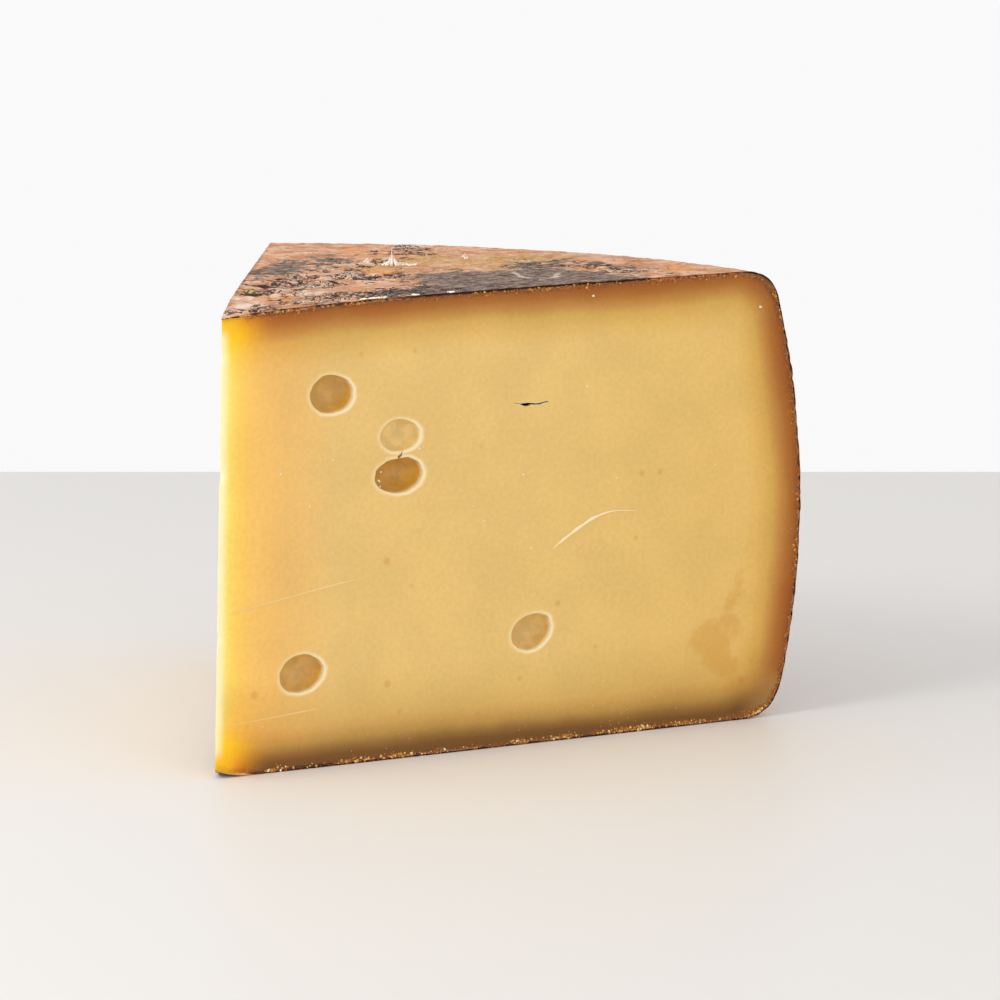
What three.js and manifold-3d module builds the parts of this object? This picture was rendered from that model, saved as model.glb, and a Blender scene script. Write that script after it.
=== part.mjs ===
// A wedge cut from a small round washed-rind cheese, in millimetres, +Z up.
//
// The wedge is one piece: the firm paste and the thin rind that ripened on it.
// It is modelled around the wheel it was cut from: a turned wheel, a leaning
// three-sided prism for the two knife cuts that meet at the wheel's centre, and
// the round eyes and the slit that the knife opened. It stands on the wheel's
// flat underside, with the first cut facing -Y, the sharp edge at -X and the
// rind at +X.

import * as THREE from "three";
import { mergeVertices } from "three/addons/utils/BufferGeometryUtils.js";
import Module from "manifold-3d";

// The wheel.
const wheelRadius = 140.1; // to the belly of the side
const wheelHeight = 100.7; // at the top corner of the side
const bellySag = 2.6; // the belly sits this far below mid height
const sideCurve = 180; // radius of the side's bulge, seen in section
const shoulderReach = 8; // top corner's rounding, along the top face
const shoulderDrop = 5.7; // top corner's rounding, down the side
const footReach = 7.6; // bottom corner's rounding, along the underside
const footDrop = 9; // bottom corner's rounding, up the side
const faceDish = 2.1; // the top face falls this far towards the centre
const centreSink = 2.1; // extra dip at the very centre of the top
const centreSinkSpan = 17; // how far out that dip fades

// The two knife cuts.
const wedgeAngle = THREE.MathUtils.degToRad(61);
const tipLean = 2.8; // the sharp edge's foot stands this far out past its head
const toeLift = 2.1; // the foot of the sharp edge curls up off the table
const toeSpan = 11; // length of the curl

// The eyes. Places are shares of the wheel's radius, from the sharp edge, and
// of its height; width, height and depth are the opening's own size.
const eyeBridge = 0.8; // paste left between the two eyes that nearly met
const lowerTwin = { along: 0.296, up: 0.611, width: 11.4, height: 8.2, depth: 4.8, tilt: 4 };
const upperTwin = { along: 0.297, width: 9.7, height: 7, depth: 2.6, tilt: 0 };
const twinRise = (lowerTwin.height + upperTwin.height) / 2 + eyeBridge;
upperTwin.up = lowerTwin.up + twinRise / wheelHeight;
const frontEyes = [
  { along: 0.181, up: 0.79, width: 10.1, height: 8.3, depth: 4.2, tilt: 0 },
  upperTwin,
  lowerTwin,
  { along: 0.139, up: 0.205, width: 10.4, height: 8.2, depth: 4.2, tilt: 9 },
  { along: 0.529, up: 0.245, width: 10, height: 7.8, depth: 3.8, tilt: 20 },
];
const rearEyes = [
  { along: 0.27, up: 0.33, width: 10, height: 8.2, depth: 4.2, tilt: -6 },
  { along: 0.45, up: 0.69, width: 9.4, height: 7.8, depth: 4, tilt: 8 },
  { along: 0.66, up: 0.41, width: 10.6, height: 8.4, depth: 4.4, tilt: -12 },
];
const slit = { along: 0.52, up: 0.743, width: 8.8, height: 0.9, depth: 2.2, tilt: 1 };

// How finely curves are cut.
const wheelSegments = 144;
const curveSteps = 6;
const sideSteps = 14;
const topRings = 10;
const eyeSegments = 24;
const cutMargin = 5; // the cutting prism runs this far past the wheel

const bellyHeight = wheelHeight / 2 - bellySag;

// Radius of the wheel's side at a height: an arc through the belly.
function sideRadius(height) {
  const rise = height - bellyHeight;
  return wheelRadius - sideCurve + Math.sqrt(sideCurve ** 2 - rise ** 2);
}

// Height of the top face at a radius: a shallow cone with a dip at the centre.
function topHeight(radius, cornerRadius) {
  const cone = faceDish * (1 - radius / cornerRadius);
  return wheelHeight - cone - centreSink * Math.exp(-radius / centreSinkSpan);
}

// The wheel's section from the axis under it, round the rim, to the axis on top.
function wheelSection() {
  const points = [new THREE.Vector2(0, 0)];
  const footCorner = new THREE.Vector2(sideRadius(0), 0);
  const footStart = new THREE.Vector2(footCorner.x - footReach, 0);
  const footEnd = new THREE.Vector2(sideRadius(footDrop), footDrop);
  const foot = new THREE.QuadraticBezierCurve(footStart, footCorner, footEnd);
  points.push(...foot.getPoints(curveSteps));

  const sideTop = wheelHeight - shoulderDrop;
  for (let step = 1; step < sideSteps; step += 1) {
    const height = THREE.MathUtils.lerp(footDrop, sideTop, step / sideSteps);
    points.push(new THREE.Vector2(sideRadius(height), height));
  }

  const cornerRadius = sideRadius(wheelHeight);
  const flatRadius = cornerRadius - shoulderReach;
  const shoulderStart = new THREE.Vector2(sideRadius(sideTop), sideTop);
  const shoulderCorner = new THREE.Vector2(cornerRadius, wheelHeight);
  const flatEdge = new THREE.Vector2(flatRadius, topHeight(flatRadius, cornerRadius));
  const shoulder = new THREE.QuadraticBezierCurve(shoulderStart, shoulderCorner, flatEdge);
  points.push(...shoulder.getPoints(curveSteps));

  for (let ring = 1; ring <= topRings; ring += 1) {
    const share = 1 - ring / topRings;
    const radius = flatRadius * share ** 1.5; // rings crowd towards the dip
    points.push(new THREE.Vector2(radius, topHeight(radius, cornerRadius)));
  }
  return points;
}

// A section turned about +Z.
function turned(points, segments) {
  const geometry = new THREE.LatheGeometry(points, segments);
  geometry.rotateX(Math.PI / 2);
  return geometry;
}

// The sharp edge's distance from the wheel's axis at a height.
function tipOffset(height) {
  return -tipLean * (1 - height / wheelHeight);
}

// The space between the two cuts: a three-sided prism that leans with the knife.
function wedgePrism() {
  const far = (1.5 * wheelRadius) / Math.cos(wedgeAngle / 2);
  const outline = new THREE.Shape();
  outline.moveTo(0, 0);
  outline.lineTo(far, 0);
  outline.lineTo(far * Math.cos(wedgeAngle), far * Math.sin(wedgeAngle));
  const depth = wheelHeight + 2 * cutMargin;
  const geometry = new THREE.ExtrudeGeometry(outline, { depth, bevelEnabled: false });
  geometry.translate(0, 0, -cutMargin);
  const lean = new THREE.Matrix4().makeShear(0, 0, 0, 0, tipLean / wheelHeight, 0);
  geometry.applyMatrix4(lean);
  geometry.translate(-tipLean, 0, 0);
  return geometry;
}

// What the curled toe leaves open under the sharp edge: a round dome with
// height = toeLift * (1 - radius / toeSpan)^2, sunk a little so it meets the
// underside at an angle.
function toeDome() {
  const sunk = 0.05;
  const points = [new THREE.Vector2(0, -cutMargin), new THREE.Vector2(toeSpan, -cutMargin)];
  for (let step = 0; step <= curveSteps; step += 1) {
    const share = step / curveSteps;
    const height = (toeLift + sunk) * share ** 2 - sunk;
    points.push(new THREE.Vector2(toeSpan * (1 - share), height));
  }
  const geometry = turned(points, eyeSegments);
  geometry.translate(tipOffset(0), 0, 0);
  return geometry;
}

// One opening in a cut face: half of a squashed ball, centred on the face that
// leaves the sharp edge at faceAngle.
function opening({ along, up, width, height, depth, tilt }, faceAngle) {
  const geometry = new THREE.SphereGeometry(1, eyeSegments, eyeSegments / 2);
  geometry.rotateX(Math.PI / 2);
  geometry.scale(width / 2, depth, height / 2);
  geometry.rotateY(-THREE.MathUtils.degToRad(tilt));
  geometry.rotateZ(faceAngle);
  const z = up * wheelHeight;
  const reach = along * wheelRadius;
  const x = tipOffset(z) + reach * Math.cos(faceAngle);
  geometry.translate(x, reach * Math.sin(faceAngle), z);
  return geometry;
}

const wasm = await Module();
wasm.setup();

// A closed geometry as a solid; triangles that shrank to a line at a pole go.
function toSolid(geometry) {
  const bare = geometry.clone();
  bare.deleteAttribute("normal");
  bare.deleteAttribute("uv");
  const merged = mergeVertices(bare, 1e-4);
  const triangles = [];
  for (let i = 0; i < merged.index.count; i += 3) {
    const [a, b, c] = merged.index.array.slice(i, i + 3);
    if (a !== b && b !== c && c !== a) {
      triangles.push(a, b, c);
    }
  }
  const vertProperties = new Float32Array(merged.attributes.position.array);
  const triVerts = new Uint32Array(triangles);
  return new wasm.Manifold(new wasm.Mesh({ numProp: 3, vertProperties, triVerts }));
}

// A solid as a geometry with flat-shaded corners.
function toGeometry(solid) {
  const mesh = solid.getMesh();
  const geometry = new THREE.BufferGeometry();
  geometry.setAttribute("position", new THREE.BufferAttribute(mesh.vertProperties, 3));
  geometry.setIndex(new THREE.BufferAttribute(mesh.triVerts, 1));
  geometry.computeVertexNormals();
  return geometry;
}

function cheeseWedge() {
  let solid = toSolid(turned(wheelSection(), wheelSegments));
  solid = solid.intersect(toSolid(wedgePrism()));
  solid = solid.subtract(toSolid(toeDome()));
  for (const eye of [...frontEyes, slit]) {
    solid = solid.subtract(toSolid(opening(eye, 0)));
  }
  for (const eye of rearEyes) {
    solid = solid.subtract(toSolid(opening(eye, wedgeAngle)));
  }
  const paste = new THREE.MeshStandardMaterial({
    color: 0xe3bd78,
    roughness: 0.5,
    metalness: 0,
  });
  const wedge = new THREE.Mesh(toGeometry(solid), paste);
  wedge.name = "cheese_wedge";
  return wedge;
}

// The wedge stands on z = 0, with the middle of its footprint's box at the origin.
const wedge = cheeseWedge();
wedge.geometry.computeBoundingBox();
const { min, max } = wedge.geometry.boundingBox;
wedge.position.set(-(min.x + max.x) / 2, -(min.y + max.y) / 2, -min.z);

const group = new THREE.Group();
group.add(wedge);

export default group;
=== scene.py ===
import math
from functools import partial
from itertools import combinations, product

import bmesh
import bpy
import numpy as np
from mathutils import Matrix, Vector


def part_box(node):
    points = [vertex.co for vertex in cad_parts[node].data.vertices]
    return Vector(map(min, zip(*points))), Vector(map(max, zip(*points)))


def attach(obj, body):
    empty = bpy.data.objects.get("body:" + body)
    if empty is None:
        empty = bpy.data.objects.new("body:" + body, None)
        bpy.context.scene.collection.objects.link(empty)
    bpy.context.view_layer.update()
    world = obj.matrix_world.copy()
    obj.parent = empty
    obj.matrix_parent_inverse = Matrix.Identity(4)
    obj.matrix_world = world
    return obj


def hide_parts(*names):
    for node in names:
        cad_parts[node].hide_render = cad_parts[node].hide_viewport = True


# A wedge of a small round washed-rind mountain cheese, as cut and stood on a table.
# Shapes are worked out in millimetres around the wheel's axis, with the first cut
# in the plane y = 0, and put into the frame in metres when a mesh is made.

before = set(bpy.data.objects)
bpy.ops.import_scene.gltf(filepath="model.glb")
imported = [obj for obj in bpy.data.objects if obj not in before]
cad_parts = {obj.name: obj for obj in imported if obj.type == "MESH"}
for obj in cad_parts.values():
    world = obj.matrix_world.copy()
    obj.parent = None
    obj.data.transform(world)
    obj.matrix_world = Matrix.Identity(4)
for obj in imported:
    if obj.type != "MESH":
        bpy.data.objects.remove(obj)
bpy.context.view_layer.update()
nodeLow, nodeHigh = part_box("cheese_wedge")
print("frame loaded")

wheel = {
    "radius": 140.1,  # to the belly of the side
    "height": 100.7,
    "bellySag": 2.6,  # how far the belly sits below mid height
    "sideCurve": 180.0,  # radius of the side's bulge in section
    "shoulderReach": 8.0,  # the top corner's rounding, along the top and down the side
    "shoulderDrop": 5.7,
    "footReach": 7.6,  # the bottom corner's rounding, along the underside and up the side
    "footDrop": 9.0,
    "faceDish": 2.1,  # the top falls this far towards the middle
    "centreSink": 2.1,  # with this much more at the very middle
    "centreSinkSpan": 17.0,
    "linePoints": {"top": 400, "corner": 61, "side": 300, "under": 400},
}
cuts = {
    "angle": math.radians(61),
    "tipLean": 2.8,  # the sharp edge's foot stands this far out past its head
    "toeLift": 1.7,  # the sharp edge's foot curls this far up off the table
    "toeSpan": 9.5,
    "fanRadius": 30.0,  # inside this the wedge fans out from the sharp edge, not the axis
    "blunting": 0.05,  # how far the sharp edge is worn back
    "evenWear": 1.3,  # the wear in bluntings, before its noise is added
    "wearNoise": [(3.5, 1, 4), (1.3, 0.6, 5)],
    "wearReach": 1.2,  # the wear fades over this distance from the edge
    "chips": [(64.0, 1.6, 0.8), (30.0, 1.1, 0.35), (88.5, 1.3, 0.4)],  # height, half length, depth
    "waviness": 0.06,  # how far the knife wandered from flat
    "waveNoise": [(23.0, 1, 11), (8.0, 0.5, 12)],
    "waveFade": 4.0,  # the wandering dies out over this distance from a cut's border
}
hiddenShell = {
    "start": 0.004,  # it lies deeper from this share of the turn away from a cut
    "tipFade": 12.0,  # and over this distance from the sharp edge
}
farAway = 99.0
axisPlace = np.array([nodeHigh.x * 1000 - wheel["radius"], nodeLow.y * 1000, 0.0])


def softNoise(at, hill, seed):
    # Random hills about one hill's size across, from -1 to 1: heights on a random lattice,
    # blended between its nodes by 3t^2 - 2t^3 in each direction.
    size = 48  # nodes before the lattice repeats
    lattice = np.random.default_rng(seed).uniform(-1, 1, (size, size, size))
    cell = np.floor(at / hill).astype(int)
    t = at / hill - cell
    t = t * t * (3 - 2 * t)
    total = 0
    for corner in product((0, 1), repeat=3):
        share = np.prod(np.where(np.array(corner) == 1, t, 1 - t), axis=-1)
        node = (cell + corner) % size
        total = total + share * lattice[node[..., 0], node[..., 1], node[..., 2]]
    return total


def layered(at, layers):
    # Soft noises added up; a layer is (hill size in mm, share, seed).
    return sum(share * softNoise(at, hill, seed) for hill, share, seed in layers)


def sideRadius(height):
    # An arc through the belly: radius - curve + sqrt(curve^2 - rise^2).
    rise = height - (wheel["height"] / 2 - wheel["bellySag"])
    return wheel["radius"] - wheel["sideCurve"] + np.sqrt(wheel["sideCurve"] ** 2 - rise**2)


def topHeight(radius):
    # A shallow cone with an exponential dip at the wheel's centre.
    cone = wheel["faceDish"] * (1 - radius / sideRadius(wheel["height"]))
    dip = wheel["centreSink"] * np.exp(-radius / wheel["centreSinkSpan"])
    return wheel["height"] - cone - dip


def tipOffset(height):
    # The leaning sharp edge: a straight line from its foot to the wheel's axis on top.
    return -cuts["tipLean"] * (1 - height / wheel["height"])


def bend(start, corner, end, count):
    # A quadratic curve from start to end, pulled towards corner.
    t = np.linspace(0, 1, count)[:, None]
    return (1 - t) ** 2 * start + 2 * t * (1 - t) * corner + t**2 * end


def leftOf(points):
    # The unit normal on the left of a line at each point: its direction turned by 90 degrees.
    along = np.gradient(points, axis=0)
    return np.stack([-along[:, 1], along[:, 0]], 1) / np.linalg.norm(along, axis=1)[:, None]


def wheelOutline(inset):
    # The section in the plane of a cut, as (x, height): from the sharp edge's head along
    # the top, round the rim and back under the wheel to its foot, moved in by inset. The
    # toe curls up by lift * (1 - distance / span)^2.
    # Also returns where the shoulder's and the foot's middles are.
    height, count = wheel["height"], wheel["linePoints"]
    sideTop = height - wheel["shoulderDrop"]
    flatEdge = sideRadius(height) - wheel["shoulderReach"]
    footEdge = sideRadius(0) - wheel["footReach"]
    topX = np.linspace(0, flatEdge, count["top"])
    top = np.stack([topX, topHeight(topX)], 1)
    shoulderCorner = np.array([sideRadius(height), height])
    shoulderEnd = np.array([sideRadius(sideTop), sideTop])
    shoulder = bend(top[-1], shoulderCorner, shoulderEnd, count["corner"])
    sideZ = np.linspace(sideTop, wheel["footDrop"], count["side"])
    side = np.stack([sideRadius(sideZ), sideZ], 1)
    foot = bend(side[-1], np.array([sideRadius(0), 0]), np.array([footEdge, 0]), count["corner"])
    underX = np.linspace(footEdge, tipOffset(cuts["toeLift"]), count["under"])
    curl = np.clip(1 - (underX - tipOffset(0)) / cuts["toeSpan"], 0, 1)
    under = np.stack([underX, cuts["toeLift"] * curl**2], 1)
    points = np.concatenate([top, shoulder[1:], side[1:], foot[1:], under[1:]])
    points = points - inset * leftOf(points)
    points[[0, -1], 0] = tipOffset(points[[0, -1], 1])
    shoulderMiddle = len(top) - 1 + count["corner"] // 2
    footMiddle = len(top) + len(shoulder) + len(side) - 3 + count["corner"] // 2
    return points, shoulderMiddle, footMiddle


def evenly(points, count):
    # The same line with count + 1 points, evenly spaced along its length.
    steps = np.linalg.norm(np.diff(points, axis=0), axis=1)
    along = np.concatenate([[0], np.cumsum(steps)])
    places = np.linspace(0, along[-1], count + 1)
    return np.stack([np.interp(places, along, points[:, k]) for k in (0, 1)], 1)


def aroundWheel(x, z, share):
    # A point of the section swung about the wheel's axis, from the first cut (share 0) to
    # the second (share 1). Near the axis it fans out from the sharp edge instead, so that
    # both cuts meet there.
    tipX = tipOffset(z)
    reach = np.maximum(x, cuts["fanRadius"])
    out = (x - tipX) / (reach - tipX)
    angle = share * (cuts["angle"] + np.arcsin(-tipX * np.sin(cuts["angle"]) / reach))
    px = tipX + out * (reach * np.cos(angle) - tipX)
    py = out * reach * np.sin(angle)
    return np.stack(np.broadcast_arrays(px, py, z), -1)


def sunkShares(steps):
    # Even shares from cut to cut, with one more close to each cut, from where a hidden
    # shell lies deeper.
    near = hiddenShell["start"]
    return np.concatenate([[0], np.linspace(near, 1 - near, steps + 1), [1]])[:, None]


def sunk(share, fromTip):
    # 1 where a hidden shell lies deeper, 0 at the two cuts and fading to 0 at the tip.
    return ((share > 0) & (share < 1)) * np.clip(fromTip / hiddenShell["tipFade"], 0, 1)


def wornTip(at):
    # The sharp edge is blunted and chipped: points near it move in along the wedge's
    # middle line by wear * exp(-distance / reach), and a chip is a bell curve of height.
    z = at[..., 2]
    column = np.stack([0 * z, 0 * z, z], -1)
    wear = cuts["blunting"] * (cuts["evenWear"] + layered(column, cuts["wearNoise"]))
    for height, half, depth in cuts["chips"]:
        wear = wear + depth * np.exp(-(((z - height) / half) ** 2))
    distance = np.hypot(at[..., 0] - tipOffset(z), at[..., 1])
    push = wear * np.exp(-distance / cuts["wearReach"])
    middle = cuts["angle"] / 2
    return at + push[..., None] * np.array([math.cos(middle), math.sin(middle), 0])


def newPiece(name, points, faces):
    # A mesh object made of points in millimetres about the wheel's axis.
    mesh = bpy.data.meshes.new(name)
    mesh.from_pydata(((points + axisPlace) / 1000).tolist(), [], faces.tolist())
    piece = bpy.data.objects.new(name, mesh)
    bpy.context.scene.collection.objects.link(piece)
    return piece


def storeValues(mesh, name, domain, values):
    # One value for each point or face of a mesh, for its material to read by name.
    made = mesh.attributes.new(name, "FLOAT", domain)
    made.data.foreach_set("value", np.asarray(values, np.float32))


def buildMesh(name, patches, sharpAngle=math.radians(40)):
    # Each patch is a grid of points in millimetres with named values at the points, or at
    # the faces for cutEdge. Grids that meet are joined along their common edges.
    points = np.concatenate([patch["at"].reshape(-1, 3) for patch in patches])
    quads, start = [], 0
    for patch in patches:
        rows, columns = patch["at"].shape[:2]
        index = start + np.arange(rows * columns).reshape(rows, columns)
        corners = [index[:-1, :-1], index[1:, :-1], index[1:, 1:], index[:-1, 1:]]
        quads.append(np.stack(corners, -1).reshape(-1, 4))
        start += rows * columns
    piece = newPiece(name, points, np.concatenate(quads))
    mesh = piece.data
    for key in patches[0]:
        if key == "cutEdge":
            values = [np.full(len(q), patch[key]) for q, patch in zip(quads, patches)]
            storeValues(mesh, key, "FACE", np.concatenate(values))
        elif key != "at":
            values = [np.broadcast_to(p[key], p["at"].shape[:2]).ravel() for p in patches]
            storeValues(mesh, key, "POINT", np.concatenate(values))
    work = bmesh.new()
    work.from_mesh(mesh)
    bmesh.ops.remove_doubles(work, verts=work.verts, dist=2e-6)
    bmesh.ops.recalc_face_normals(work, faces=work.faces)
    work.to_mesh(mesh)
    work.free()
    mesh.shade_smooth()
    mesh.set_sharp_from_angle(angle=sharpAngle)
    return piece


# The kinds of shader node in use: Blender's name, the inputs in the order they are given,
# the output and what is always set.
nodeKinds = {
    "coords": ("TexCoord", (), "Object", {}),
    "direction": ("TexCoord", (), "Generated", {}),
    "mark": ("Attribute", (), "Fac", {}),
    "place": ("Mapping", ("Vector", "Scale"), 0, {}),
    "noise": ("TexNoise", ("Vector", "Scale", "Detail", "Roughness", "Distortion"), 0, {}),
    "add": ("Math", (0, 1), 0, {"operation": "ADD"}),
    "subtract": ("Math", (0, 1), 0, {"operation": "SUBTRACT"}),
    "multiply": ("Math", (0, 1), 0, {"operation": "MULTIPLY"}),
    "share": ("Math", (0, 1), 0, {"operation": "DIVIDE", "use_clamp": True}),
    "maximum": ("Math", (0, 1), 0, {"operation": "MAXIMUM"}),
    "absolute": ("Math", (0,), 0, {"operation": "ABSOLUTE"}),
    "between": (
        "MapRange",
        ("Value", "From Min", "From Max", "To Min", "To Max"),
        0,
        {"interpolation_type": "SMOOTHSTEP"},
    ),
    "ramp": ("ValToRGB", ("Fac",), 0, {}),
    "scale": ("VectorMath", (0, 3), 0, {"operation": "SCALE"}),
    "mix": ("Mix", (0, 6, 7), 2, {"data_type": "RGBA"}),
    "tint": ("Mix", (0, 6, 7), 2, {"data_type": "RGBA", "blend_type": "MULTIPLY"}),
    "blend": ("Mix", (0, 2, 3), 0, {}),
    "bump": ("Bump", ("Height", "Strength", "Distance"), 0, {}),
    "surface": ("BsdfPrincipled", (), 0, {}),
    "materialOut": ("OutputMaterial", ("Surface",), None, {}),
    "level": ("SeparateXYZ", (0,), 2, {}),
    "light": ("Background", ("Color", "Strength"), 0, {}),
    "worldOut": ("OutputWorld", ("Surface",), None, {}),
}


def linear(hexColour):
    # An sRGB hex colour as linear red, green, blue and alpha 1.
    parts = [int(hexColour[k : k + 2], 16) / 255 for k in (1, 3, 5)]
    return (*[p / 12.92 if p <= 0.04045 else ((p + 0.055) / 1.055) ** 2.4 for p in parts], 1.0)


def addNode(tree, kind, *values, inputs=None, stops=(), **settings):
    # Adds a shader node and gives back its output. An input takes a plain value, a hex
    # colour or another node's output, in order or by its name in inputs. Stops are a
    # ramp's colours by their places, which are divided by the last one.
    node, order, output, always = nodeKinds[kind]
    made = tree.nodes.new("ShaderNode" + node)
    for name, value in {**always, **settings}.items():
        setattr(made, name, value)
    for name, value in {**dict(zip(order, values)), **(inputs or {})}.items():
        if isinstance(value, bpy.types.NodeSocket):
            tree.links.new(value, made.inputs[name])
        else:
            made.inputs[name].default_value = linear(value) if isinstance(value, str) else value
    for index, (place, colour) in enumerate(stops):
        elements = made.color_ramp.elements
        share = place / stops[-1][0]
        element = elements[index] if index < 2 else elements.new(share)
        element.position = share
        element.color = linear(colour)
    return None if output is None else made.outputs[output]


def addPatterns(tree, patterns):
    # A material's noises by name. A pattern is the mm across a hill (one number, or one for
    # each axis), detail, roughness and distortion, and then, unless the noise is used as it
    # is, its low and high and what they become, with soft ends between.
    coords = addNode(tree, "coords")
    made = {}
    for name, (hill, detail, roughness, distortion, *ends) in patterns.items():
        placed = addNode(tree, "place", coords, tuple(1000 / np.broadcast_to(hill, 3)))
        noise = addNode(tree, "noise", placed, 1.0, detail, roughness, distortion)
        made[name] = addNode(tree, "between", noise, *ends) if ends else noise
    return made


def newMaterial(name):
    # An empty material to which nodes are added.
    made = bpy.data.materials.new(name)
    made.use_nodes = True
    made.node_tree.nodes.clear()
    return made


def finishWith(material, look):
    # Ends a material with the surface itself, whose inputs the look names.
    shader = addNode(material.node_tree, "surface", inputs=look)
    addNode(material.node_tree, "materialOut", shader)


def plainMaterial(name, look):
    # A finish with no pattern: a surface with the look's values.
    material = newMaterial(name)
    finishWith(material, look)
    return material


# The paste: the two cut faces with their eyes, and the hidden skin under the rind.

paste = {
    "columns": 240,  # cells from the sharp edge to the rind
    "rows": 172,  # cells from the foot to the top
    "skinSteps": 14,  # cells round under the rind
    "inset": 0.25,  # the paste ends this far inside the rind's outside
    "sink": 1.2,  # the hidden skin lies about this much deeper, clear of the creases
    "sinkTowards": (60.0, 50.0),  # the place in a cut's plane that it sinks towards
    "sinkSpan": 60.0,  # the distance from there at which it sinks by just that much
    "netTurns": 900,  # how long the net between the eyes is left to settle
    "eyeRings": 8,  # cells from an eye's middle to its rim
    "lipReach": 1.1,  # an eye's lip stands round it at this many radii
    "lipRise": 0.07,
    "rimWaves": [(3, 2, 0.016), (5, 1, 0.01), (11, 1, 0.007)],  # waves round, phase, height
    "rimRipple": (17, 3, 0.008),  # waves round, waves in which they swell, height
    "lineParts": (24, 16, 12),  # straight stretches of the top, the rim and the foot
    "cornerBlend": 1.3,  # mm over which the browning blends round the shoulder
    "rimSpread": 0.93,  # the browning reaches a little further in from the rim than from the top
    "paleSide": (0.8, -0.6),  # direction in which an eye's rim catches the light
    "smearAt": (131.5, 94.5),  # middle of the dark smear at the shoulder
}
# Places are the eye's middle in the plane of its cut; sizes are the opening's own, in mm.
# A dent is (direction in degrees, depth as a share of the radius, width in degrees).
# An eye's dark is the share of painted shade in its hollow.
frontEyes = [
    {"x": 24.8, "z": 79.4, "width": 10.1, "height": 8.3, "depth": 4.2, "tilt": 0, "dark": 0.7,
     "dents": [(80, 0.03, 14)]},
    {"x": 40.7, "z": 69.65, "width": 9.5, "height": 7.0, "depth": 2.6, "tilt": 0, "dark": 0.05,
     "dents": [], "rings": 6},
    {"x": 40.4, "z": 61.4, "width": 11.4, "height": 8.2, "depth": 4.8, "tilt": 4, "dark": 1.0,
     "dents": [(90, 0.17, 34), (132, 0.06, 12), (50, 0.04, 9)], "rings": 7},
    {"x": 17.3, "z": 20.6, "width": 10.4, "height": 8.2, "depth": 4.2, "tilt": 9, "dark": 0.6,
     "dents": [(140, 0.04, 16)]},
    {"x": 72.1, "z": 24.7, "width": 10.0, "height": 7.8, "depth": 3.8, "tilt": 20, "dark": 0.25,
     "dents": [(20, -0.04, 12)]},
]
rearEyes = [
    {"x": 36.0, "z": 33.2, "width": 10.0, "height": 8.2, "depth": 4.2, "tilt": -6, "dark": 0.6,
     "dents": [(60, 0.04, 15)]},
    {"x": 62.2, "z": 69.5, "width": 9.4, "height": 7.8, "depth": 4.0, "tilt": 8, "dark": 0.4,
     "dents": []},
    {"x": 90.8, "z": 41.3, "width": 10.6, "height": 8.4, "depth": 4.4, "tilt": -12, "dark": 0.8,
     "dents": [(110, 0.05, 18)]},
]
slit = {
    "x": 72.1,
    "z": 74.4,
    "width": 8.8,
    "height": 0.95,
    "depth": 2.2,
    # How far it opens (share of its height) and where its middle runs (mm), end to end.
    "open": [
        (-1, 0), (-0.8, 0.2), (-0.6, 0.12), (-0.46, 0.6), (-0.3, 0.9), (-0.1, 0.7), (0.02, 0.3),
        (0.15, 0.46), (0.3, 0.3), (0.5, 0.46), (0.65, 0.3), (0.85, 0.42), (1, 0),
    ],
    "run": [
        (-1, 0.5), (-0.6, 0.2), (-0.4, -0.05), (-0.1, 0.0), (0.0, 0.1), (0.2, -0.08), (0.5, 0.0),
        (0.7, 0.22), (1, 0.36),
    ],
    "spine": [(-3.6, 0.3), (0, 0), (4, 0.3)],  # from its middle, mm
    "reach": 1.5,  # what is sunk within this distance of the spine is the slit
    "halo": (3.2, 0.7, 0.35),  # its pale lips: spine distance times, less, and at least
}
# Ochre stains low by the rind, each an oval: middle, half sizes, turn in degrees.
pasteStains = [
    (117.0, 19.0, 5.6, 5.0, 0), (121.5, 22.0, 3.0, 4.0, 0), (122.2, 26.5, 1.8, 4.5, -25),
    (124.9, 31.5, 0.9, 3.6, -15), (120.5, 13.5, 3.6, 3.6, 0),
]
# Small brown freckles: place and radius.
freckles = [
    (31.7, 87.4, 0.45), (44.3, 87.5, 0.45), (78.5, 30.5, 0.6), (37.4, 43.0, 0.75), (43.2, 37.2, 0.4),
    (37.4, 16.5, 0.7), (40.2, 10.2, 0.5), (17.2, 6.7, 0.35), (6.4, 17.0, 0.8), (4.8, 10.5, 0.3),
    (59.1, 7.8, 0.4), (69.3, 14.6, 0.5), (98.0, 43.4, 0.45), (125.1, 9.0, 0.7), (127.7, 13.2, 0.4),
    (11.0, 6.7, 0.3), (99.5, 57.5, 0.6), (104.0, 57.5, 0.6), (60.0, 66.0, 0.35), (88.0, 20.0, 0.4),
]


def cutNet():
    # A net over a cut face: straight from the sharp edge to the rim, with its four sides
    # on the section's outline (a Coons patch: sides blended, corners taken off once).
    outline, shoulder, foot = wheelOutline(paste["inset"])
    columns, rows = paste["columns"], paste["rows"]
    top = evenly(outline[: shoulder + 1], columns)
    right = evenly(outline[shoulder : foot + 1][::-1], rows)
    under = evenly(outline[foot:][::-1], columns)
    left = under[0] + np.linspace(0, 1, rows + 1)[:, None] * (top[0] - under[0])
    s = np.linspace(0, 1, columns + 1)[:, None, None]
    t = np.linspace(0, 1, rows + 1)[None, :, None]
    sides = (1 - t) * under[:, None] + t * top[:, None] + (1 - s) * left[None] + s * right[None]
    low = (1 - s) * under[0] + s * under[-1]
    high = (1 - s) * top[0] + s * top[-1]
    return sides - (1 - t) * low - t * high


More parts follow.
